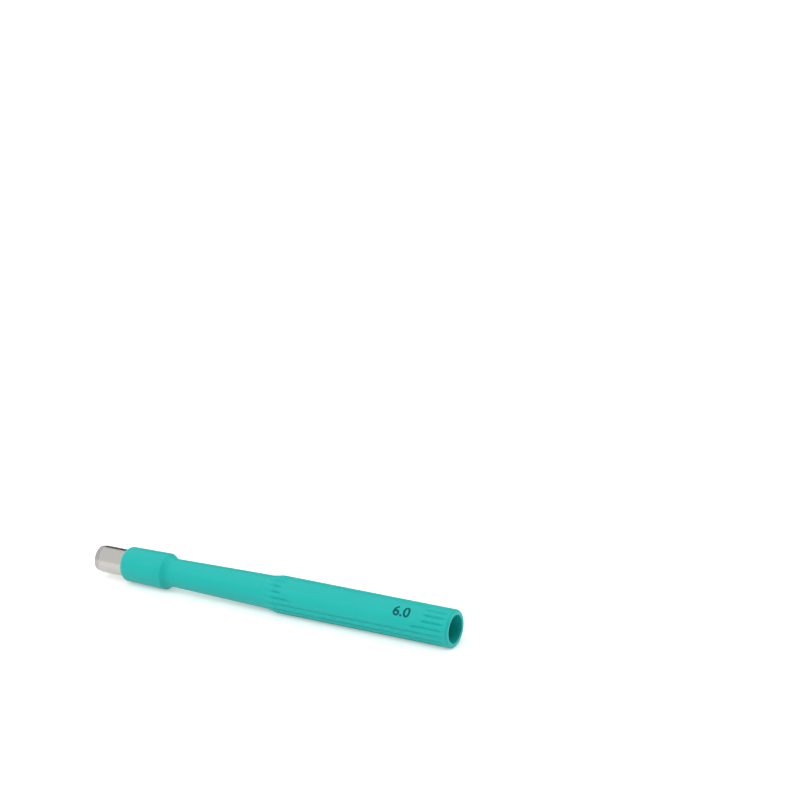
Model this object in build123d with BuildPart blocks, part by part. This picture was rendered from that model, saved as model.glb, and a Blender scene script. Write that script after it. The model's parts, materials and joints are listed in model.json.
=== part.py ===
from build123d import *

import os
from math import cos, radians, sin, tan

# Biopsy punch: a moulded handle with a ribbed grip, and a tubular blade bonded into its nose.
# It lies along X on the plane Z = 0, the cutting edge towards -X and the open rear end towards +X.
# The origin is on that plane, below the middle of the punch. Sizes are in millimetres.

# Blade: seamless steel tube, ground from outside to a circular edge
punch_diameter = 6.0        # bore of the blade, the size by which a punch is chosen
blade_wall = 0.25
blade_exposed = 7.8         # length in front of the nose
blade_seated = 9.3          # length held in the nose
bevel_length = 1.3          # ground band behind the edge
edge_width = 0.03           # flat left on the cutting edge

# Nose collar, thick enough to hold the blade's socket
bond_gap = 0.02             # adhesive film round the blade, on the radius
socket_floor = 2.15         # plastic behind the blade, up to the end of the collar
socket_lead_in = 0.15       # chamfer at the socket's mouth
collar_front_wall = 0.9     # wall round the socket at the nose
collar_rear_wall = 1.07     # and at the rear of the collar, which is tapered for the mould
nose_length = 0.75          # blunt taper at the very front
nose_drop = 0.4             # how far that taper comes in, on the radius
nose_round = 0.6
shoulder_length = 1.3       # slope from the collar down to the neck
shoulder_round = 0.4
shoulder_hollow = 1.0

# Neck, tapering from the grip to the collar
neck_length = 27.15
neck_front_diameter = 6.72
neck_rear_diameter = 7.92
neck_wall = 1.36            # at its slender end

# Grip: a cylinder with rounded ribs along it
grip_length = 48.0
grip_diameter = 8.9
grip_wall = 1.2
ramp_length = 2.5           # rise from the neck to the grip
ramp_round = 3.0
rear_round = 0.6
mouth_round = 0.2           # inner edge of the open rear end
core_stop = 6.0             # the wide bore ends this far behind the front of the grip

# Ribs, and the grooves between them
rib_count = 18
rib_round = 0.7             # radius of a rib's back
rib_land = 0.25             # width of the flat along its crest
groove_depth = 0.4
groove_slope = 15.0         # degrees at which a groove's floor rises to the surface at its end
groove_lift = 1.5           # the cutter lifts by this many depths there, clear of the surface
groove_rear_margin = 1.4    # plain band left at the rear end
rest_turn = -90.0           # one groove faces straight down, so the punch lies on the two ribs beside it

# Smooth oval pad for the printed size, where the grooves stop
pad_length = 36.2
pad_width = 7.7             # seen square on
pad_fullness = 3.0          # exponent of its outline: 2 is an ellipse, and more is squarer
pad_from_rear = 25.0        # centre of the pad
pad_turn = 130.0            # faces up and towards the front, on one of the grooves' lines

# Radii
blade_bore_radius = punch_diameter / 2
blade_radius = blade_bore_radius + blade_wall
socket_radius = blade_radius + bond_gap
collar_front_radius = socket_radius + collar_front_wall
collar_rear_radius = socket_radius + collar_rear_wall
neck_front_radius = neck_front_diameter / 2
neck_rear_radius = neck_rear_diameter / 2
vent_radius = neck_front_radius - neck_wall
grip_radius = grip_diameter / 2
bore_radius = grip_radius - grip_wall

# Places along X, worked out from the rear end, and the height of the punch's axis
collar_length = blade_seated + socket_floor
handle_length = collar_length + shoulder_length + neck_length + grip_length
overall_length = handle_length + blade_exposed
rear_x = overall_length / 2
edge_x = -overall_length / 2
nose_x = rear_x - handle_length
socket_floor_x = nose_x + blade_seated
collar_end_x = nose_x + collar_length
neck_x = collar_end_x + shoulder_length
ramp_x = rear_x - grip_length
bore_end_x = ramp_x + core_stop
vent_x = bore_end_x - (bore_radius - vent_radius)
pad_x = rear_x - pad_from_rear
axis_height = max(grip_radius, collar_rear_radius)

# Two neighbouring ribs seen from the groove between them, which the cutter fills from its floor outwards
half_pitch = radians(180 / rib_count)
rib_crown = rib_land ** 2 / 8 * (1 / rib_round - 1 / grip_radius)
rib_centre_radius = grip_radius + rib_crown - rib_round
rib_centre_across = rib_centre_radius * sin(half_pitch)
rib_centre_below = grip_radius - rib_centre_radius * cos(half_pitch)
cutter_width = 2 * (grip_radius + rib_crown) * sin(half_pitch)
cutter_height = (1 + groove_lift) * groove_depth

# Where a groove runs out at its end
run_out_length = groove_depth / tan(radians(groove_slope))
groove_rear_x = rear_x - groove_rear_margin - run_out_length

punch_axis = Axis((0, 0, axis_height), (1, 0, 0))


def axial_plane(turn):
    """Return the plane through the punch's axis whose local X runs along it and local Y points out at a turn."""
    across = (0, -sin(radians(turn)), cos(radians(turn)))
    return Plane(origin=(0, 0, axis_height), x_dir=(1, 0, 0), z_dir=across)


def groove_floors(turn):
    """Return the front and rear X of each level floor of the groove at a turn: two where the pad is in its way."""
    from_pad = radians(turn - pad_turn)
    across = abs(sin(from_pad)) * grip_radius * 2 / pad_width
    if cos(from_pad) < 0 or across >= 1:
        return [(ramp_x, groove_rear_x)]
    reach = pad_length / 2 * (1 - across ** pad_fullness) ** (1 / pad_fullness) + run_out_length
    return [(ramp_x, pad_x - reach), (pad_x + reach, groove_rear_x)]


# Handle
with BuildPart() as handle:
    # Wall section, turned about the axis: outside from nose to rear end, then back along the bores
    with BuildSketch(axial_plane(90)) as section:
        with BuildLine():
            Polyline(
                (nose_x, socket_radius + socket_lead_in),
                (nose_x, collar_front_radius - nose_drop),
                (nose_x + nose_length, collar_front_radius),
                (collar_end_x, collar_rear_radius),
                (neck_x, neck_front_radius),
                (ramp_x, neck_rear_radius),
                (ramp_x + ramp_length, grip_radius),
                (rear_x, grip_radius),
                (rear_x, bore_radius),
                (bore_end_x, bore_radius),
                (vent_x, vent_radius),
                (socket_floor_x, vent_radius),
                (socket_floor_x, socket_radius),
                (nose_x + socket_lead_in, socket_radius),
                close=True,
            )
        make_face()
        rounded_corners = [
            ((nose_x + nose_length, collar_front_radius), nose_round),
            ((collar_end_x, collar_rear_radius), shoulder_round),
            ((neck_x, neck_front_radius), shoulder_hollow),
            ((ramp_x, neck_rear_radius), ramp_round),
            ((ramp_x + ramp_length, grip_radius), ramp_round),
            ((rear_x, grip_radius), rear_round),
            ((rear_x, bore_radius), mouth_round),
        ]
        for corner, radius in rounded_corners:
            fillet(section.vertices().sort_by_distance(corner)[0], radius=radius)
    revolve(axis=punch_axis)

    # Grooves, where there is room for one
    for groove in range(rib_count):
        groove_turn = rest_turn + groove * 360 / rib_count
        groove_plane = axial_plane(groove_turn)
        for front_x, end_x in groove_floors(groove_turn):
            if end_x <= front_x:
                continue
            lift = groove_lift * groove_depth
            slide = groove_lift * run_out_length
            with BuildLine(groove_plane) as track:
                Polyline(
                    (front_x - slide, grip_radius + lift),
                    (front_x, grip_radius),
                    (end_x, grip_radius),
                    (end_x + slide, grip_radius + lift),
                )
            path = track.wires()[0]
            with BuildSketch(Plane(origin=path @ 0, x_dir=-groove_plane.z_dir, z_dir=path % 0)):
                with Locations((0, cutter_height / 2 - groove_depth)):
                    Rectangle(cutter_width, cutter_height)
                with Locations((-rib_centre_across, -rib_centre_below), (rib_centre_across, -rib_centre_below)):
                    Circle(rib_round, mode=Mode.SUBTRACT)
            sweep(path=path, transition=Transition.RIGHT, mode=Mode.SUBTRACT)

# Blade
with BuildPart() as blade:
    with BuildSketch(axial_plane(90)):
        with BuildLine():
            Polyline(
                (edge_x, blade_bore_radius),
                (edge_x, blade_bore_radius + edge_width),
                (edge_x + bevel_length, blade_radius),
                (socket_floor_x, blade_radius),
                (socket_floor_x, blade_bore_radius),
                close=True,
            )
        make_face()
    revolve(axis=punch_axis)

handle.part.label = "handle"
blade.part.label = "blade"

os.makedirs("parts", exist_ok=True)
export_step(handle.part, "parts/handle.step")
export_step(blade.part, "parts/blade.step")
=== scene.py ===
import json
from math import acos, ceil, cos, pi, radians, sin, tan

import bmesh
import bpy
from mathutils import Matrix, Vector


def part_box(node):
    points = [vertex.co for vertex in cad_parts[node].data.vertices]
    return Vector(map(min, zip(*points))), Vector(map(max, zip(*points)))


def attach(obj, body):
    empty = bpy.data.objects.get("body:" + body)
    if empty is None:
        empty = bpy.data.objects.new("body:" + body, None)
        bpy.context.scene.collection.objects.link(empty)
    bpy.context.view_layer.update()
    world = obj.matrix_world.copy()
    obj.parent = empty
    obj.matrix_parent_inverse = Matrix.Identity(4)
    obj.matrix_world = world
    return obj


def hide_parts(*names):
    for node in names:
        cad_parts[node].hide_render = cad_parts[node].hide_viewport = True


bl_info = {
    "name": "Biopsy Punch",
    "version": (1, 0, 0),
    "blender": (4, 5, 0),
    "location": "3D View > Sidebar > Biopsy Punch",
    "description": "Dresses a biopsy punch: moulded handle, steel blade, printed size and studio",
    "category": "Object",
}

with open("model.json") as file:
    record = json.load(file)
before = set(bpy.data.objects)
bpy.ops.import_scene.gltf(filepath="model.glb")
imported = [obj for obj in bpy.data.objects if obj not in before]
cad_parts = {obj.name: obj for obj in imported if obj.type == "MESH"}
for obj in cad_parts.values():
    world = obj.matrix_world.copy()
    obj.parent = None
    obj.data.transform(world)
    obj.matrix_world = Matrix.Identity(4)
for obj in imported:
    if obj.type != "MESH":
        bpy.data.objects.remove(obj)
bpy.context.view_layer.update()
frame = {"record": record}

# The punch lies along X on the plane Z = 0, its edge towards -X and its open rear end towards +X.
# Turns about its axis are angles from +Y towards +Z.
MM = 0.001
BODY = "root"

# Sizes that the frame gives
MOUNTS = {mount["name"]: mount for mount in frame["record"]["mounts"]}
AXIS_HEIGHT = MOUNTS["rear_bore"]["pos_m"][2]
NOSE_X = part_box("handle")[0].x
REAR_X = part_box("handle")[1].x
EDGE_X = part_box("blade")[0].x
SOCKET_FLOOR_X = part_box("blade")[1].x
PUNCH_RADIUS = MOUNTS["blade_bore"]["dims"]["r_mm"] * MM
VENT_RADIUS = MOUNTS["vent_bore"]["dims"]["r_mm"] * MM
REAR_BORE_RADIUS = MOUNTS["rear_bore"]["dims"]["r_mm"] * MM


# Properties

def linear(hex_colour):
    """Turn an sRGB hex colour into linear RGB."""
    channels = [int(hex_colour[i:i + 2], 16) / 255 for i in (1, 3, 5)]
    return [c / 12.92 if c <= 0.04045 else ((c + 0.055) / 1.055) ** 2.4 for c in channels]


def length(name, description, metres):
    """Make a property for a length."""
    return bpy.props.FloatProperty(
        name=name, description=description, default=metres, min=0, subtype="DISTANCE", unit="LENGTH",
        precision=6)


def angle(name, description, turned):
    """Make a property for an angle, given in degrees."""
    return bpy.props.FloatProperty(
        name=name, description=description, default=radians(turned), subtype="ANGLE", unit="ROTATION")


def colour(name, description, hex_colour):
    """Make a property for a colour."""
    return bpy.props.FloatVectorProperty(
        name=name, description=description, default=linear(hex_colour), size=3, min=0, max=1,
        subtype="COLOR")


def amount(name, description, value):
    """Make a property for a plain number."""
    return bpy.props.FloatProperty(name=name, description=description, default=value, min=0)


class PunchHandleSettings(bpy.types.PropertyGroup):
    """Sizes and colours of the moulded handle."""

    shade: colour("Shade", "Turquoise of the plastic", "#10B6AF")
    flow_shade: colour("Flow shade", "Turquoise where the melt flowed last", "#14B9B1")
    bond_gap: length("Bond gap", "Adhesive film round the blade, on the radius", 0.02 * MM)
    lead_in: length("Lead-in", "Chamfer at the mouth of the socket", 0.15 * MM)
    collar_length: length("Collar length", "Thick nose that holds the blade", 11.45 * MM)
    collar_front_radius: length("Collar front radius", "Radius of the collar behind the nose", 4.17 * MM)
    collar_rear_radius: length("Collar rear radius", "Radius of the collar at its shoulder", 4.34 * MM)
    nose_length: length("Nose length", "Blunt taper at the very front", 0.75 * MM)
    nose_drop: length("Nose drop", "How far the blunt taper comes in", 0.4 * MM)
    nose_round: length("Nose round", "Round behind the blunt taper", 0.6 * MM)
    nose_edge_round: length("Nose edge round", "Round at the front face", 0.25 * MM)
    shoulder_length: length("Shoulder length", "Slope from the collar to the neck", 1.3 * MM)
    shoulder_round: length("Shoulder round", "Round at the top of the slope", 0.8 * MM)
    shoulder_hollow: length("Shoulder hollow", "Hollow at the foot of the slope", 3.0 * MM)
    neck_front_radius: length("Neck front radius", "Slender end of the neck", 3.36 * MM)
    neck_rear_radius: length("Neck rear radius", "Neck where it meets the grip", 3.96 * MM)
    grip_length: length("Grip length", "From the foot of the ramp to the rear end", 48.0 * MM)
    grip_radius: length("Grip radius", "Radius over the ribs, on which the punch lies", AXIS_HEIGHT)
    ramp_length: length("Ramp length", "Rise from the neck to the grip", 2.5 * MM)
    ramp_round: length("Ramp round", "Rounds at both ends of the ramp", 3.0 * MM)
    rear_round: length("Rear round", "Outer edge of the rear end", 0.6 * MM)
    mouth_round: length("Mouth round", "Inner edge of the rear end", 0.2 * MM)
    core_stop: length("Core stop", "Front of the wide bore, behind the front of the grip", 6.0 * MM)
    core_round: length("Core round", "Rounds on the cone where the wide bore ends", 0.5 * MM)
    ring_spacing: length("Ring spacing", "Distance between the mesh's rings on the grip", 0.3 * MM)
    steps_per_rib: bpy.props.IntProperty(
        name="Steps per rib", description="Faces across one rib and its groove", default=20, min=4)


class PunchRibSettings(bpy.types.PropertyGroup):
    """Sizes of the ribs, their grooves and the oval pad."""

    rib_count: bpy.props.IntProperty(name="Ribs", description="Ribs round the grip", default=18, min=3)
    rib_round: length("Rib round", "Radius of a rib's back", 0.7 * MM)
    rib_land: length("Rib land", "Width of the flat along a rib's crest", 0.25 * MM)
    groove_depth: length("Groove depth", "Depth between two ribs", 0.4 * MM)
    groove_slope: angle("Groove slope", "Rise of a groove's floor at its end", 15)
    rear_margin: length("Rear margin", "Plain band left at the rear end", 0.7 * MM)
    first_groove: angle("First groove", "Turn of the groove that faces down", -90)
    softness: length("Softness", "Blend at the edges of ribs and floors", 0.05 * MM)
    pad_length: length("Pad length", "Length of the smooth oval", 36.2 * MM)
    pad_width: length("Pad width", "Width of the smooth oval, seen square on", 7.7 * MM)
    pad_fullness: amount("Pad fullness", "Exponent of the oval: 2 is an ellipse, and more is squarer", 3.0)
    pad_from_rear: length("Pad from rear", "Middle of the pad, from the rear end", 25.0 * MM)
    pad_turn: angle("Pad turn", "Way that the pad faces", 130)


class PunchBladeSettings(bpy.types.PropertyGroup):
    """Sizes and colours of the tubular blade."""

    tube_shade: colour("Tube shade", "Drawn steel", "#BEBCB7")
    # Darker than the tube as painted shade: it stands for the darker surroundings that the ground band
    # mirrors
    ground_shade_painted_darker: colour("Ground shade", "Steel ground to the edge", "#ADABAB")
    wall: length("Wall", "Thickness of the tube", 0.25 * MM)
    bevel_length: length("Bevel length", "Ground band behind the edge", 1.3 * MM)
    edge_width: length("Edge width", "Flat left on the cutting edge", 0.03 * MM)
    heel_round: length("Heel round", "Round where the ground band meets the tube", 0.3 * MM)
    segments: bpy.props.IntProperty(
        name="Segments", description="Faces round the tube", default=192, min=12)


class PunchPrintSettings(bpy.types.PropertyGroup):
    """The size printed on the pad."""

    size_text: bpy.props.StringProperty(
        name="Size", description="Bore of the blade in millimetres", default=f"{2 * PUNCH_RADIUS / MM:.1f}")
    ink_shade: colour("Ink shade", "Printing ink", "#00565C")
    figure_height: length("Figure height", "Height of the printed figures", 2.5 * MM)
    print_length: length("Print length", "Length of the print along the punch", 4.3 * MM)
    from_rear: length("From rear", "Middle of the print, from the rear end", 12.0 * MM)
    ink_film: length("Ink film", "How far the ink stands proud", 0.012 * MM)
    ink_root: length("Ink root", "How far the ink's underside lies in the surface", 0.01 * MM)
    strip_height: length("Strip height", "Strips in which the figures bend round the pad", 0.12 * MM)
    weight: length("Weight", "Extra thickness of the strokes, on each side", 0.055 * MM)
    below_middle: length("Below middle", "Middle of the print, below the middle of the pad", 0.15 * MM)


class PunchStageSettings(bpy.types.PropertyGroup):
    """Camera, light and floor."""

    camera_place: bpy.props.FloatVectorProperty(
        name="Camera place", description="Where the camera stands", default=(0.30256, -0.48004, 0.25429),
        size=3, subtype="TRANSLATION", unit="LENGTH", precision=5)
    camera_azimuth: angle("Camera azimuth", "Turn of the view about the vertical", 29.107)
    camera_elevation: angle("Camera elevation", "How far the camera looks down", 19.743)
    camera_roll: angle("Camera roll", "Turn of the picture", -1.618)
    camera_lens: amount("Camera lens", "Focal length in millimetres on a 36 mm sensor", 119.844)
    floor_shade: colour("Floor shade", "Paper on the floor", "#F0F0F0")
    floor_glow: amount("Floor glow", "Lifts the paper to white for the camera and in reflections", 0.36)
    floor_size: length("Floor size", "Width of the paper", 12)
    horizon_light: amount("Horizon light", "Light that comes in level", 0.3)
    zenith_light: amount("Zenith light", "Light that comes from overhead", 1.15)
    dim_azimuth: angle("Dim azimuth", "Side that less light comes from", 40)
    dim_reach: angle("Dim reach", "How far to either side of it the light is less", 85)
    dim_light: amount("Dim light", "Share of the light that comes from there", 0.0)
    key_strength: amount("Key strength", "Soft light from the front", 1.5)
    key_elevation: angle("Key elevation", "Height of the soft light", 42)
    key_azimuth: angle("Key azimuth", "Side that the soft light comes from", -20)
    key_softness: angle("Key softness", "Width of the soft light as the punch sees it", 50)
    edge_strength: amount("Edge strength", "Low light from behind, on the rim of the open end", 1.2)
    edge_elevation: angle("Edge elevation", "Height of the low light", 10)
    edge_azimuth: angle("Edge azimuth", "Side that the low light comes from", 120)
    edge_softness: angle("Edge softness", "Width of the low light as the punch sees it", 30)
    flag_shade: colour("Flag shade", "Dark card that draws a line along the top of the steel", "#1C1C1C")
    flag_place: bpy.props.FloatVectorProperty(
        name="Flag place", description="Middle of the card's lower edge", default=(-0.035, 0.22, 0.002),
        size=3, subtype="TRANSLATION", unit="LENGTH", precision=5)
    flag_width: length("Flag width", "Width of the card", 0.4)
    flag_height: length("Flag height", "Height of the card", 0.22)


# Node trees and materials

def add_node(tree, kind, inputs=(), **settings):
    """Add a node with its settings, and feed its inputs by order or by name with sockets or values."""
    node = tree.nodes.new(kind)
    for key, value in settings.items():
        setattr(node, key, value)
    pairs = inputs.items() if isinstance(inputs, dict) else enumerate(inputs)
    for key, value in pairs:
        if isinstance(value, bpy.types.Node):
            value = value.outputs[0]
        if isinstance(value, bpy.types.NodeSocket):
            tree.links.new(value, node.inputs[key])
        else:
            node.inputs[key].default_value = value
    return node


def new_material(name):
    """Return an empty node material and its tree."""
    material = bpy.data.materials.new(name)
    material.use_nodes = True
    material.node_tree.nodes.clear()
    return material, material.node_tree


def moulded_abs(settings):
    """ABS, injection moulded in a spark-eroded mould: satin, with a fine grain and faint flow marks."""
    material, tree = new_material("abs_satin_moulded")
    flow_size = 9 * MM
    grain_size = 0.16 * MM        # the real grain is finer and would not show
    grain_height = 0.004 * MM
    place = add_node(tree, "ShaderNodeTexCoord").outputs["Object"]
    flow = add_node(tree, "ShaderNodeTexNoise", {"Vector": place, "Scale": 1 / flow_size, "Detail": 2.0})
    shade = add_node(tree, "ShaderNodeValToRGB", [flow])
    shade.color_ramp.elements[0].color = (*settings.shade, 1)
    shade.color_ramp.elements[0].position = 0.3
    shade.color_ramp.elements[1].color = (*settings.flow_shade, 1)
    shade.color_ramp.elements[1].position = 0.7
    grain = add_node(tree, "ShaderNodeTexNoise", {"Vector": place, "Scale": 1 / grain_size, "Detail": 3.0})
    roughness = add_node(tree, "ShaderNodeMapRange", {"Value": grain, "To Min": 0.4, "To Max": 0.52})
    bump = add_node(tree, "ShaderNodeBump", {"Height": grain, "Strength": 0.5, "Distance": grain_height})
    plastic = add_node(tree, "ShaderNodeBsdfPrincipled", {
        "Base Color": shade, "Roughness": roughness, "Normal": bump, "IOR": 1.54,
        "Specular IOR Level": 0.3})
    add_node(tree, "ShaderNodeOutputMaterial", [plastic])
    return material


def lined_steel(name, shade, spacing, line_height, smoothest, roughest):
    """Return steel with fine lines in it, which have this spacing along X, Y and Z."""
    material, tree = new_material(name)
    place = add_node(tree, "ShaderNodeTexCoord").outputs["Object"]
    lines_per_metre = [1 / gap for gap in spacing]
    stretched = add_node(tree, "ShaderNodeMapping", {"Vector": place, "Scale": lines_per_metre})
    lines = add_node(tree, "ShaderNodeTexNoise", {"Vector": stretched, "Scale": 1.0, "Detail": 2.0})
    roughness = add_node(tree, "ShaderNodeMapRange", {
        "Value": lines, "To Min": smoothest, "To Max": roughest})
    bump = add_node(tree, "ShaderNodeBump", {"Height": lines, "Strength": 0.6, "Distance": line_height})
    steel = add_node(tree, "ShaderNodeBsdfPrincipled", {
        "Base Color": (*shade, 1), "Metallic": 1.0, "Roughness": roughness, "Normal": bump})
    add_node(tree, "ShaderNodeOutputMaterial", [steel])
    return material


def drawn_steel(settings, side, smoothest, roughest):
    """Stainless steel tube, drawn through a die: a soft mirror with fine lines along it."""
    line_width = 0.12 * MM        # the real lines are finer and would not show
    line_length = 9 * MM
    line_height = 0.0006 * MM
    spacing = (line_length, line_width, line_width)
    name = f"stainless_steel_drawn_{side}"
    return lined_steel(name, settings.tube_shade, spacing, line_height, smoothest, roughest)


def ground_steel(settings):
    """Stainless steel, ground on a turning tube: a shade darker as painted shade, standing for the darker
    surroundings the band mirrors, with fine lines round the edge.
    """
    line_width = 0.06 * MM        # the real lines are finer and would not show
    line_length = 6 * MM
    line_height = 0.001 * MM
    spacing = (line_width, line_length, line_length)
    return lined_steel(
        "stainless_steel_ground", settings.ground_shade_painted_darker, spacing, line_height, smoothest=0.16, roughest=0.3)


def printing_ink(settings):
    """Two-part ink, pad printed: thin, even and matt, thinner in small specks."""
    material, tree = new_material("ink_pad_printed")
    speck_size = 0.25 * MM
    speck_lightness = 1.5         # against full ink
    place = add_node(tree, "ShaderNodeTexCoord").outputs["Object"]
    specks = add_node(tree, "ShaderNodeTexNoise", {"Vector": place, "Scale": 1 / speck_size, "Detail": 2.0})
    shade = add_node(tree, "ShaderNodeValToRGB", [specks])
    shade.color_ramp.elements[0].color = (*settings.ink_shade, 1)
    shade.color_ramp.elements[0].position = 0.45
    shade.color_ramp.elements[1].color = (*[speck_lightness * c for c in settings.ink_shade], 1)
    shade.color_ramp.elements[1].position = 0.8
    ink = add_node(tree, "ShaderNodeBsdfPrincipled", {
        "Base Color": shade, "Roughness": 0.5, "IOR": 1.5, "Specular IOR Level": 0.15})
    add_node(tree, "ShaderNodeOutputMaterial", [ink])
    return material


def seen_directly(tree):
    """Return a node that gives 1 to the camera, to reflections and through glass, and else 0."""
    path = add_node(tree, "ShaderNodeLightPath").outputs
    seen = path["Is Camera Ray"]
    for other_way in ("Is Glossy Ray", "Is Transmission Ray"):
        seen = add_node(tree, "ShaderNodeMath", [seen, path[other_way]], operation="MAXIMUM")
    return seen


def studio_paper(settings):
    """Seamless paper, uncoated: dead matt, and lifted to white where it is looked at."""
    material, tree = new_material("paper_uncoated")
    fibre_size = 0.8 * MM
    fibre_height = 0.01 * MM
    place = add_node(tree, "ShaderNodeTexCoord").outputs["Object"]
    fibres = add_node(tree, "ShaderNodeTexNoise", {"Vector": place, "Scale": 1 / fibre_size})
    bump = add_node(tree, "ShaderNodeBump", {"Height": fibres, "Strength": 0.1, "Distance": fibre_height})
    paper = add_node(tree, "ShaderNodeBsdfDiffuse", {"Color": (*settings.floor_shade, 1), "Normal": bump})
    seen = seen_directly(tree)
    glow = add_node(tree, "ShaderNodeMath", [seen, settings.floor_glow], operation="MULTIPLY")
    lift = add_node(tree, "ShaderNodeEmission", {"Strength": glow})
    both = add_node(tree, "ShaderNodeAddShader", [paper, lift])
    add_node(tree, "ShaderNodeOutputMaterial", [both])
    return material


def flocked_card(settings):
    """Card, flocked: soaks up the light, so that it shows only as a dark line in polished metal."""
    material, tree = new_material("card_flocked")
    card = add_node(tree, "ShaderNodeBsdfDiffuse", {"Color": (*settings.flag_shade, 1)})
    add_node(tree, "ShaderNodeOutputMaterial", [card])
    return material


# Meshes

def rounded_outline(corners, arc_step):
    """Return the closed outline through the corners, each (x, radius, round), with the rounds as arcs."""
    outline = []
    for before, corner, after in zip(corners[-1:] + corners[:-1], corners, corners[1:] + corners[:1]):
        point = Vector(corner[:2])
        size = corner[2]
        if not size:
            outline.append(point)
            continue
        back = (Vector(before[:2]) - point).normalized()
        ahead = (Vector(after[:2]) - point).normalized()
        half_angle = acos(max(-1.0, min(1.0, back.dot(ahead)))) / 2
        centre = point + (back + ahead).normalized() * size / sin(half_angle)
        first = (point + back * size / tan(half_angle) - centre).normalized()
        last = (point + ahead * size / tan(half_angle) - centre).normalized()
        steps = max(2, ceil((pi - 2 * half_angle) / arc_step))
        outline += [centre + size * first.slerp(last, i / steps) for i in range(steps + 1)]
    return outline


def divided(outline, spacing, fits):
    """Return the outline with points added at a spacing on each run between two points that fit."""
    points = []
    for start, end in zip(outline, outline[1:] + outline[:1]):
        parts = ceil((end - start).length / spacing) if fits(start) and fits(end) else 1
        points += [start.lerp(end, i / parts) for i in range(parts)]
    return points


def new_object(name, verts, faces):
    """Return a new object whose mesh has these points and faces."""
    mesh = bpy.data.meshes.new(name)
    mesh.from_pydata(verts, [], faces)
    made = bpy.data.objects.new(name, mesh)
    bpy.context.scene.collection.objects.link(made)
    return made


def lathe(name, outline, segments):
    """Return a new object: the closed outline, in x and radius, turned about the punch's axis."""
    turns = [2 * pi * j / segments for j in range(segments)]
    verts = [
        (point.x, point.y * cos(turn), AXIS_HEIGHT + point.y * sin(turn))
        for point in outline for turn in turns]
    faces = []
    for i in range(len(outline)):
        ring = i * segments
        next_ring = (i + 1) % len(outline) * segments
        for j in range(segments):
            next_j = (j + 1) % segments
            faces.append((ring + j, ring + next_j, next_ring + next_j, next_ring + j))
    piece = new_object(name, verts, faces)
    piece.data.shade_smooth()
    return piece


def plain_mesh(shown):
    """Return a new mesh of what an object's modifiers or text make."""
    bpy.context.view_layer.update()
    evaluated = shown.evaluated_get(bpy.context.evaluated_depsgraph_get())
    return bpy.data.meshes.new_from_object(evaluated)


def bake(piece):
    """Turn what a piece's modifiers make into its own mesh."""
    mesh = plain_mesh(piece)
    mesh.name = piece.name
    piece.modifiers.clear()
    piece.data = mesh


def require_closed(piece):
    """Raise an error if a mesh is open or turned inside out."""
    shell = bmesh.new()
    shell.from_mesh(piece.data)
    is_open = any(not edge.is_manifold for edge in shell.edges)
    volume = shell.calc_volume(signed=True)
    shell.free()
    if is_open or volume <= 0:
        raise RuntimeError(f"{piece.name} is not a closed mesh with its faces outwards")


RIB_INPUTS = (
    "Axis Height", "Grip Radius", "Rib Count", "Rib Round", "Rib Centre Radius", "Groove Depth",
    "Groove Rise", "Run Out", "Groove Front", "Groove Rear", "First Groove", "Pad Centre",
    "Pad Half Length", "Pad Half Width", "Pad Fullness", "Pad Turn", "Softness")


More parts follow.
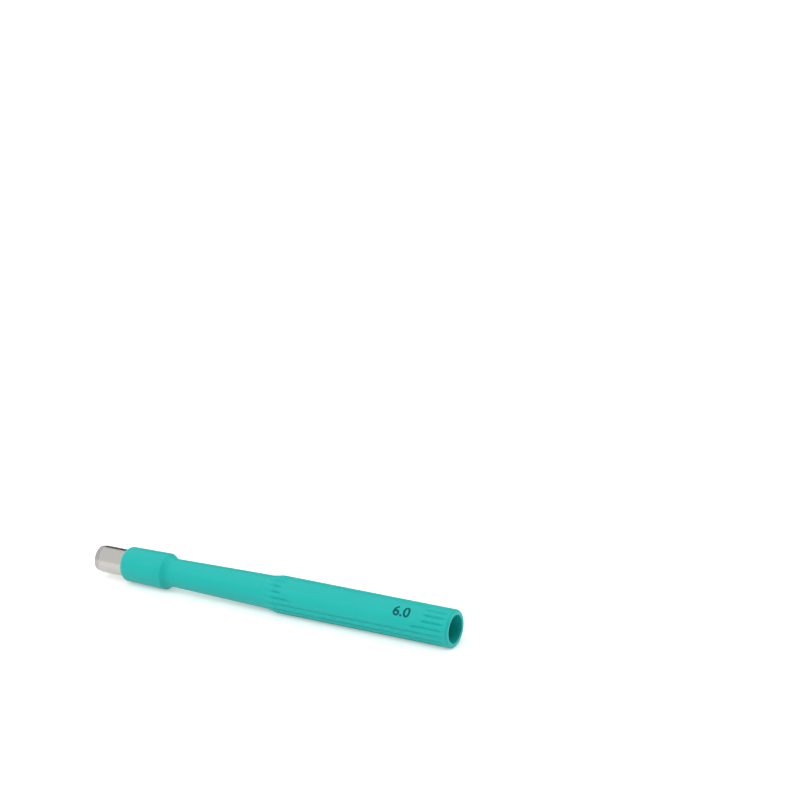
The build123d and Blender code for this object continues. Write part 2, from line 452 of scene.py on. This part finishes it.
def rib_tree():
    """Return the node tree that presses ribs into a turned handle and leaves a smooth oval pad."""
    tree = bpy.data.node_groups.new("moulded_ribs", "GeometryNodeTree")
    tree.interface.new_socket("Handle", in_out="INPUT", socket_type="NodeSocketGeometry")
    for name in RIB_INPUTS:
        tree.interface.new_socket(name, in_out="INPUT", socket_type="NodeSocketFloat")
    tree.interface.new_socket("Finish", in_out="INPUT", socket_type="NodeSocketMaterial")
    tree.interface.new_socket("Handle", in_out="OUTPUT", socket_type="NodeSocketGeometry")
    given = add_node(tree, "NodeGroupInput").outputs
    math = "ShaderNodeMath"

    # Where each point is: along the punch, out from its axis and round it
    place = add_node(tree, "ShaderNodeSeparateXYZ", [add_node(tree, "GeometryNodeInputPosition")]).outputs
    height = add_node(tree, math, [place["Z"], given["Axis Height"]], operation="SUBTRACT")
    turn = add_node(tree, math, [height, place["Y"]], operation="ARCTAN2")
    flat = add_node(tree, "ShaderNodeCombineXYZ", [0.0, place["Y"], height])
    radius = add_node(tree, "ShaderNodeVectorMath", [flat], operation="LENGTH").outputs["Value"]

    # The groove nearest to it, and the angle from that groove
    pitch = add_node(tree, math, [2 * pi, given["Rib Count"]], operation="DIVIDE")
    from_first = add_node(tree, math, [turn, given["First Groove"]], operation="SUBTRACT")
    grooves = add_node(tree, math, [from_first, pitch], operation="DIVIDE")
    nearest = add_node(tree, math, [grooves], operation="ROUND")
    share = add_node(tree, math, [grooves, nearest], operation="SUBTRACT")
    signed_angle = add_node(tree, math, [share, pitch], operation="MULTIPLY")
    from_groove = add_node(tree, math, [signed_angle], operation="ABSOLUTE")
    groove_turn = add_node(tree, math, [nearest, pitch, given["First Groove"]], operation="MULTIPLY_ADD")

    # How far the pad reaches along that groove, both ways from its middle
    from_pad = add_node(tree, math, [groove_turn, given["Pad Turn"]], operation="SUBTRACT")
    sine = add_node(tree, math, [from_pad], operation="SINE")
    sideways = add_node(tree, math, [sine, given["Grip Radius"]], operation="MULTIPLY")
    across = add_node(tree, math, [sideways, given["Pad Half Width"]], operation="DIVIDE")
    across_size = add_node(tree, math, [across], operation="ABSOLUTE")
    across_power = add_node(tree, math, [across_size, given["Pad Fullness"]], operation="POWER")
    along_power = add_node(tree, math, [1.0, across_power], operation="SUBTRACT")
    along_clamped = add_node(tree, math, [along_power, 0.0], operation="MAXIMUM")
    root = add_node(tree, math, [1.0, given["Pad Fullness"]], operation="DIVIDE")
    along = add_node(tree, math, [along_clamped, root], operation="POWER")
    half_length = given["Pad Half Length"]
    reach = add_node(tree, math, [along, half_length, given["Run Out"]], operation="MULTIPLY_ADD")
    facing = add_node(tree, math, [from_pad], operation="COSINE")
    on_front = add_node(tree, math, [facing, 0.0], operation="GREATER_THAN")
    on_oval = add_node(tree, math, [across_size, 1.0], operation="LESS_THAN")
    on_pad = add_node(tree, math, [on_front, on_oval], operation="MULTIPLY")

    # How far the point is past the end of the groove's level floor, and so how much the floor has risen
    from_middle = add_node(tree, math, [place["X"], given["Pad Centre"]], operation="SUBTRACT")
    off_middle = add_node(tree, math, [from_middle], operation="ABSOLUTE")
    inside_pad = add_node(tree, math, [reach, off_middle], operation="SUBTRACT")
    pad_gap = add_node(tree, math, [inside_pad, on_pad], operation="MULTIPLY")
    front_gap = add_node(tree, math, [given["Groove Front"], place["X"]], operation="SUBTRACT")
    rear_gap = add_node(tree, math, [place["X"], given["Groove Rear"]], operation="SUBTRACT")
    end_gap = add_node(tree, math, [front_gap, rear_gap], operation="MAXIMUM")
    any_gap = add_node(tree, math, [end_gap, pad_gap], operation="MAXIMUM")
    gap = add_node(tree, math, [any_gap, 0.0], operation="MAXIMUM")
    rise = add_node(tree, math, [gap, given["Groove Rise"]], operation="MULTIPLY")

    # Radius of the rib's round back, whose centre is half a pitch away and rises with the floor
    half_pitch = add_node(tree, math, [pitch, 0.5], operation="MULTIPLY")
    half_sine = add_node(tree, math, [half_pitch], operation="SINE")
    half_cosine = add_node(tree, math, [half_pitch], operation="COSINE")
    centre_radius = given["Rib Centre Radius"]
    centre_across = add_node(tree, math, [half_sine, centre_radius], operation="MULTIPLY")
    centre_up = add_node(tree, math, [half_cosine, centre_radius, rise], operation="MULTIPLY_ADD")
    centre = add_node(tree, "ShaderNodeCombineXYZ", [centre_across, centre_up, 0.0])
    centre_out = add_node(tree, "ShaderNodeVectorMath", [centre], operation="LENGTH").outputs["Value"]
    centre_turn = add_node(tree, math, [centre_across, centre_up], operation="ARCTAN2")
    from_rib = add_node(tree, math, [centre_turn, from_groove], operation="SUBTRACT")
    rib_sine = add_node(tree, math, [from_rib], operation="SINE")
    rib_cosine = add_node(tree, math, [from_rib], operation="COSINE")
    beside = add_node(tree, math, [rib_sine, centre_out], operation="MULTIPLY")
    beside_squared = add_node(tree, math, [beside, beside], operation="MULTIPLY")
    round_squared = add_node(tree, math, [given["Rib Round"], given["Rib Round"]], operation="MULTIPLY")
    above_squared = add_node(tree, math, [round_squared, beside_squared], operation="SUBTRACT")
    above_clamped = add_node(tree, math, [above_squared, 0.0], operation="MAXIMUM")
    above = add_node(tree, math, [above_clamped], operation="SQRT")
    rib_radius = add_node(tree, math, [rib_cosine, centre_out, above], operation="MULTIPLY_ADD")

    # Radius of the groove's flat floor, and the two blended into the handle
    floor_low = add_node(tree, math, [given["Grip Radius"], given["Groove Depth"]], operation="SUBTRACT")
    floor_up = add_node(tree, math, [floor_low, rise], operation="ADD")
    groove_cosine = add_node(tree, math, [from_groove], operation="COSINE")
    floor_radius = add_node(tree, math, [floor_up, groove_cosine], operation="DIVIDE")
    pressed = add_node(tree, math, [rib_radius, floor_radius, given["Softness"]], operation="SMOOTH_MAX")
    new_radius = add_node(tree, math, [radius, pressed, given["Softness"]], operation="SMOOTH_MIN")
    scale = add_node(tree, math, [new_radius, radius], operation="DIVIDE")
    new_y = add_node(tree, math, [place["Y"], scale], operation="MULTIPLY")
    new_z = add_node(tree, math, [height, scale, given["Axis Height"]], operation="MULTIPLY_ADD")
    new_place = add_node(tree, "ShaderNodeCombineXYZ", [place["X"], new_y, new_z])

    ribbed = add_node(tree, "GeometryNodeSetPosition", {"Geometry": given["Handle"], "Position": new_place})
    realized = add_node(tree, "GeometryNodeRealizeInstances", [ribbed])
    finished = add_node(tree, "GeometryNodeSetMaterial", {
        "Geometry": realized, "Material": given["Finish"]})
    add_node(tree, "NodeGroupOutput", [finished])
    return tree


# Operators

class PUNCH_OT_handle(bpy.types.Operator):
    """Turn the handle, press its ribs in and finish it as moulded plastic"""

    bl_idname = "punch.handle"
    bl_label = "Build Handle"

    def execute(self, context):
        size = context.scene.punch_handle
        rib = context.scene.punch_ribs
        socket_radius = PUNCH_RADIUS + context.scene.punch_blade.wall + size.bond_gap
        collar_end_x = NOSE_X + size.collar_length
        neck_x = collar_end_x + size.shoulder_length
        ramp_x = REAR_X - size.grip_length
        bore_end_x = ramp_x + size.core_stop
        cone_x = bore_end_x - (REAR_BORE_RADIUS - VENT_RADIUS)

        # Wall section: outside from nose to rear end, then back along the bores
        corners = [
            (NOSE_X, socket_radius + size.lead_in, 0),
            (NOSE_X, size.collar_front_radius - size.nose_drop, size.nose_edge_round),
            (NOSE_X + size.nose_length, size.collar_front_radius, size.nose_round),
            (collar_end_x, size.collar_rear_radius, size.shoulder_round),
            (neck_x, size.neck_front_radius, size.shoulder_hollow),
            (ramp_x, size.neck_rear_radius, size.ramp_round),
            (ramp_x + size.ramp_length, size.grip_radius, size.ramp_round),
            (REAR_X, size.grip_radius, size.rear_round),
            (REAR_X, REAR_BORE_RADIUS, size.mouth_round),
            (bore_end_x, REAR_BORE_RADIUS, size.core_round),
            (cone_x, VENT_RADIUS, size.core_round),
            (SOCKET_FLOOR_X, VENT_RADIUS, 0),
            (SOCKET_FLOOR_X, socket_radius, 0),
            (NOSE_X + size.lead_in, socket_radius, 0),
        ]
        arc_step = radians(15)
        outline = rounded_outline(corners, arc_step)
        least_radius = size.grip_radius - rib.groove_depth
        outline = divided(outline, size.ring_spacing, lambda p: p.x > ramp_x and p.y > least_radius)
        handle = lathe("handle_moulded", outline, rib.rib_count * size.steps_per_rib)

        # Ribs
        rib_crown = rib.rib_land ** 2 / 8 * (1 / rib.rib_round - 1 / size.grip_radius)
        rise = tan(rib.groove_slope)
        run_out = rib.groove_depth / rise
        values = {
            "Axis Height": AXIS_HEIGHT,
            "Grip Radius": size.grip_radius,
            "Rib Count": float(rib.rib_count),
            "Rib Round": rib.rib_round,
            "Rib Centre Radius": size.grip_radius + rib_crown - rib.rib_round,
            "Groove Depth": rib.groove_depth,
            "Groove Rise": rise,
            "Run Out": run_out,
            "Groove Front": ramp_x,
            "Groove Rear": REAR_X - rib.rear_margin - run_out,
            "First Groove": rib.first_groove,
            "Pad Centre": REAR_X - rib.pad_from_rear,
            "Pad Half Length": rib.pad_length / 2,
            "Pad Half Width": rib.pad_width / 2,
            "Pad Fullness": rib.pad_fullness,
            "Pad Turn": rib.pad_turn,
            "Softness": rib.softness,
            "Finish": moulded_abs(size),
        }
        tree = rib_tree()
        ribs = handle.modifiers.new("ribs", "NODES")
        ribs.node_group = tree
        for socket in tree.interface.items_tree:
            if socket.in_out == "INPUT" and socket.name in values:
                ribs[socket.identifier] = values[socket.name]
        bake(handle)
        sharp_from = radians(60)
        handle.data.set_sharp_from_angle(angle=sharp_from)
        require_closed(handle)
        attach(handle, BODY)
        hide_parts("handle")
        return {"FINISHED"}


class PUNCH_OT_blade(bpy.types.Operator):
    """Turn the tubular blade and finish its drawn and ground surfaces"""

    bl_idname = "punch.blade"
    bl_label = "Build Blade"

    def execute(self, context):
        size = context.scene.punch_blade
        outer_radius = PUNCH_RADIUS + size.wall
        heel_x = EDGE_X + size.bevel_length
        corners = [
            (EDGE_X, PUNCH_RADIUS, 0),
            (EDGE_X, PUNCH_RADIUS + size.edge_width, 0),
            (heel_x, outer_radius, size.heel_round),
            (SOCKET_FLOOR_X, outer_radius, 0),
            (SOCKET_FLOOR_X, PUNCH_RADIUS, 0),
        ]
        arc_step = radians(3)
        blade = lathe("blade_tube", rounded_outline(corners, arc_step), size.segments)

        # Finishes: the tube is duller inside than outside, and the edge is ground
        blade.data.materials.append(drawn_steel(size, "outside", smoothest=0.22, roughest=0.32))
        blade.data.materials.append(ground_steel(size))
        blade.data.materials.append(drawn_steel(size, "inside", smoothest=0.5, roughest=0.65))
        outside, ground, inside = range(3)
        middle_radius = PUNCH_RADIUS + size.wall / 2
        for face in blade.data.polygons:
            out = Vector((face.center.y, face.center.z - AXIS_HEIGHT)).length
            if face.center.x < heel_x and face.normal.x < 0:
                face.material_index = ground
            elif out < middle_radius:
                face.material_index = inside
            else:
                face.material_index = outside
        sharp_from = radians(30)
        blade.data.set_sharp_from_angle(angle=sharp_from)
        require_closed(blade)
        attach(blade, BODY)
        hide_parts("blade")
        return {"FINISHED"}


class PUNCH_OT_size_print(bpy.types.Operator):
    """Print the size on the pad"""

    bl_idname = "punch.size_print"
    bl_label = "Print Size"

    def execute(self, context):
        ink = context.scene.punch_print
        grip_radius = context.scene.punch_handle.grip_radius
        pad_turn = context.scene.punch_ribs.pad_turn
        text = bpy.data.curves.new("size_text", "FONT")
        text.body = ink.size_text
        text.align_x = "CENTER"
        text.align_y = "CENTER"
        text.resolution_u = 6
        text.extrude = 0.5        # any thickness will do, because it is fitted to the ink's film below
        text.offset = ink.weight / ink.figure_height
        writing = bpy.data.objects.new("size_writing", text)
        context.scene.collection.objects.link(writing)
        mesh = plain_mesh(writing)
        mesh.name = "size_print"
        bpy.data.objects.remove(writing)
        bpy.data.curves.remove(text)

        # Fit the figures to their height and length, then cut them in strips that can bend
        places = [vert.co for vert in mesh.vertices]
        lowest = Vector(map(min, *places))
        highest = Vector(map(max, *places))
        middle = (lowest + highest) / 2
        extent = highest - lowest
        film = ink.ink_film + ink.ink_root
        scale = (ink.print_length / extent.x, ink.figure_height / extent.y, film / extent.z, 1)
        mesh.transform(Matrix.Diagonal(scale) @ Matrix.Translation(-middle))
        shell = bmesh.new()
        shell.from_mesh(mesh)
        weld_distance = 0.0005 * MM
        bmesh.ops.remove_doubles(shell, verts=shell.verts, dist=weld_distance)
        strips = ceil(ink.figure_height / ink.strip_height)
        for i in range(1, strips):
            level = ink.figure_height * (i / strips - 0.5)
            everything = shell.verts[:] + shell.edges[:] + shell.faces[:]
            bmesh.ops.bisect_plane(shell, geom=everything, plane_co=(0, level, 0), plane_no=(0, 1, 0))

        # Wrap them round the pad, reading towards the rear end with their tops up
        print_x = REAR_X - ink.from_rear
        for vert in shell.verts:
            turn = pad_turn - (vert.co.y - ink.below_middle) / grip_radius
            radius = grip_radius + vert.co.z + film / 2 - ink.ink_root
            vert.co = (print_x + vert.co.x, radius * cos(turn), AXIS_HEIGHT + radius * sin(turn))
        bmesh.ops.recalc_face_normals(shell, faces=shell.faces)
        shell.to_mesh(mesh)
        shell.free()
        mesh.materials.clear()
        mesh.materials.append(printing_ink(ink))
        print_piece = bpy.data.objects.new("size_print", mesh)
        context.scene.collection.objects.link(print_piece)
        require_closed(print_piece)
        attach(print_piece, BODY)
        return {"FINISHED"}


def add_sun(name, strength, elevation, azimuth, softness):
    """Add a soft, distant lamp that polished metal doesn't mirror."""
    lamp = bpy.data.lights.new(name, "SUN")
    lamp.energy = strength
    lamp.angle = softness
    sun = bpy.data.objects.new(name, lamp)
    sun.rotation_euler = (pi / 2 - elevation, 0, azimuth)
    sun.visible_glossy = False
    bpy.context.scene.collection.objects.link(sun)


class PUNCH_OT_stage(bpy.types.Operator):
    """Set up the floor, the light and the camera"""

    bl_idname = "punch.stage"
    bl_label = "Set Up Stage"

    def execute(self, context):
        scene = context.scene
        stage = scene.punch_stage
        scene.view_settings.view_transform = "Standard"

        # Paper on the floor
        half = stage.floor_size / 2
        corners = [(-half, -half, 0), (half, -half, 0), (half, half, 0), (-half, half, 0)]
        one_face = [(0, 1, 2, 3)]
        floor = new_object("floor", corners, one_face)
        floor.data.materials.append(studio_paper(stage))

        # Light from all round, most of it from overhead and less from the dim side, but seen as white
        world = bpy.data.worlds.new("studio")
        scene.world = world
        world.use_nodes = True
        tree = world.node_tree
        tree.nodes.clear()
        towards = add_node(tree, "ShaderNodeTexCoord").outputs["Generated"]
        upward = add_node(tree, "ShaderNodeSeparateXYZ", [towards]).outputs["Z"]
        all_round = add_node(tree, "ShaderNodeMapRange", {
            "Value": upward, "To Min": stage.horizon_light, "To Max": stage.zenith_light})
        dim_way = (sin(stage.dim_azimuth), -cos(stage.dim_azimuth), 0)
        on_dim_side = add_node(tree, "ShaderNodeVectorMath", [towards, dim_way], operation="DOT_PRODUCT")
        kept = add_node(tree, "ShaderNodeMapRange", {
            "Value": on_dim_side.outputs["Value"], "From Min": cos(stage.dim_reach), "To Min": 1.0,
            "To Max": stage.dim_light})
        ambient = add_node(tree, "ShaderNodeMath", [all_round, kept], operation="MULTIPLY")
        strength = add_node(tree, "ShaderNodeMapRange", {
            "Value": seen_directly(tree), "To Min": ambient, "To Max": 1.0})
        light = add_node(tree, "ShaderNodeBackground", {"Color": (1, 1, 1, 1), "Strength": strength})
        add_node(tree, "ShaderNodeOutputWorld", [light])

        # Soft light from the front and low light from behind, which the steel doesn't mirror
        add_sun("key", stage.key_strength, stage.key_elevation, stage.key_azimuth, stage.key_softness)
        add_sun("edge", stage.edge_strength, stage.edge_elevation, stage.edge_azimuth, stage.edge_softness)

        # Dark card behind the punch, which shows only in reflections
        low = Vector(stage.flag_place)
        high = low + Vector((0, 0, stage.flag_height))
        side = Vector((stage.flag_width / 2, 0, 0))
        flag = new_object("flag", [low - side, low + side, high + side, high - side], one_face)
        flag.data.materials.append(flocked_card(stage))
        flag.visible_camera = False
        flag.visible_diffuse = False
        flag.visible_shadow = False

        # Camera
        lens = bpy.data.cameras.new("camera")
        lens.lens = stage.camera_lens
        lens.sensor_width = 36
        lens.clip_start = 0.01
        camera = bpy.data.objects.new("camera", lens)
        heading = Matrix.Rotation(stage.camera_azimuth, 4, "Z")
        looking_down = Matrix.Rotation(pi / 2 - stage.camera_elevation, 4, "X")
        roll = Matrix.Rotation(stage.camera_roll, 4, "Z")
        camera.matrix_world = Matrix.Translation(stage.camera_place) @ heading @ looking_down @ roll
        scene.collection.objects.link(camera)
        scene.camera = camera
        return {"FINISHED"}


# Panel

SECTIONS = (
    ("punch_handle", PunchHandleSettings, PUNCH_OT_handle),
    ("punch_ribs", PunchRibSettings, None),
    ("punch_blade", PunchBladeSettings, PUNCH_OT_blade),
    ("punch_print", PunchPrintSettings, PUNCH_OT_size_print),
    ("punch_stage", PunchStageSettings, PUNCH_OT_stage),
)


class VIEW3D_PT_biopsy_punch(bpy.types.Panel):
    """Sizes, colours and building steps of the punch"""

    bl_label = "Biopsy Punch"
    bl_space_type = "VIEW_3D"
    bl_region_type = "UI"
    bl_category = "Biopsy Punch"

    def draw(self, context):
        for pointer, group, operator in SECTIONS:
            box = self.layout.box()
            for key in group.__annotations__:
                box.prop(getattr(context.scene, pointer), key)
            if operator:
                box.operator(operator.bl_idname)


def classes():
    """Return every class to register, settings first."""
    groups = [group for _, group, _ in SECTIONS]
    operators = [operator for _, _, operator in SECTIONS if operator]
    return groups + operators + [VIEW3D_PT_biopsy_punch]


def register():
    for cls in classes():
        bpy.utils.register_class(cls)
    for pointer, group, _ in SECTIONS:
        setattr(bpy.types.Scene, pointer, bpy.props.PointerProperty(type=group))


def unregister():
    for pointer, _, _ in SECTIONS:
        delattr(bpy.types.Scene, pointer)
    for cls in reversed(classes()):
        bpy.utils.unregister_class(cls)


def main():
    """Build the punch and its stage."""
    register()
    bpy.ops.punch.handle()
    bpy.ops.punch.blade()
    bpy.ops.punch.size_print()
    bpy.ops.punch.stage()


if __name__ == "__main__":
    main()
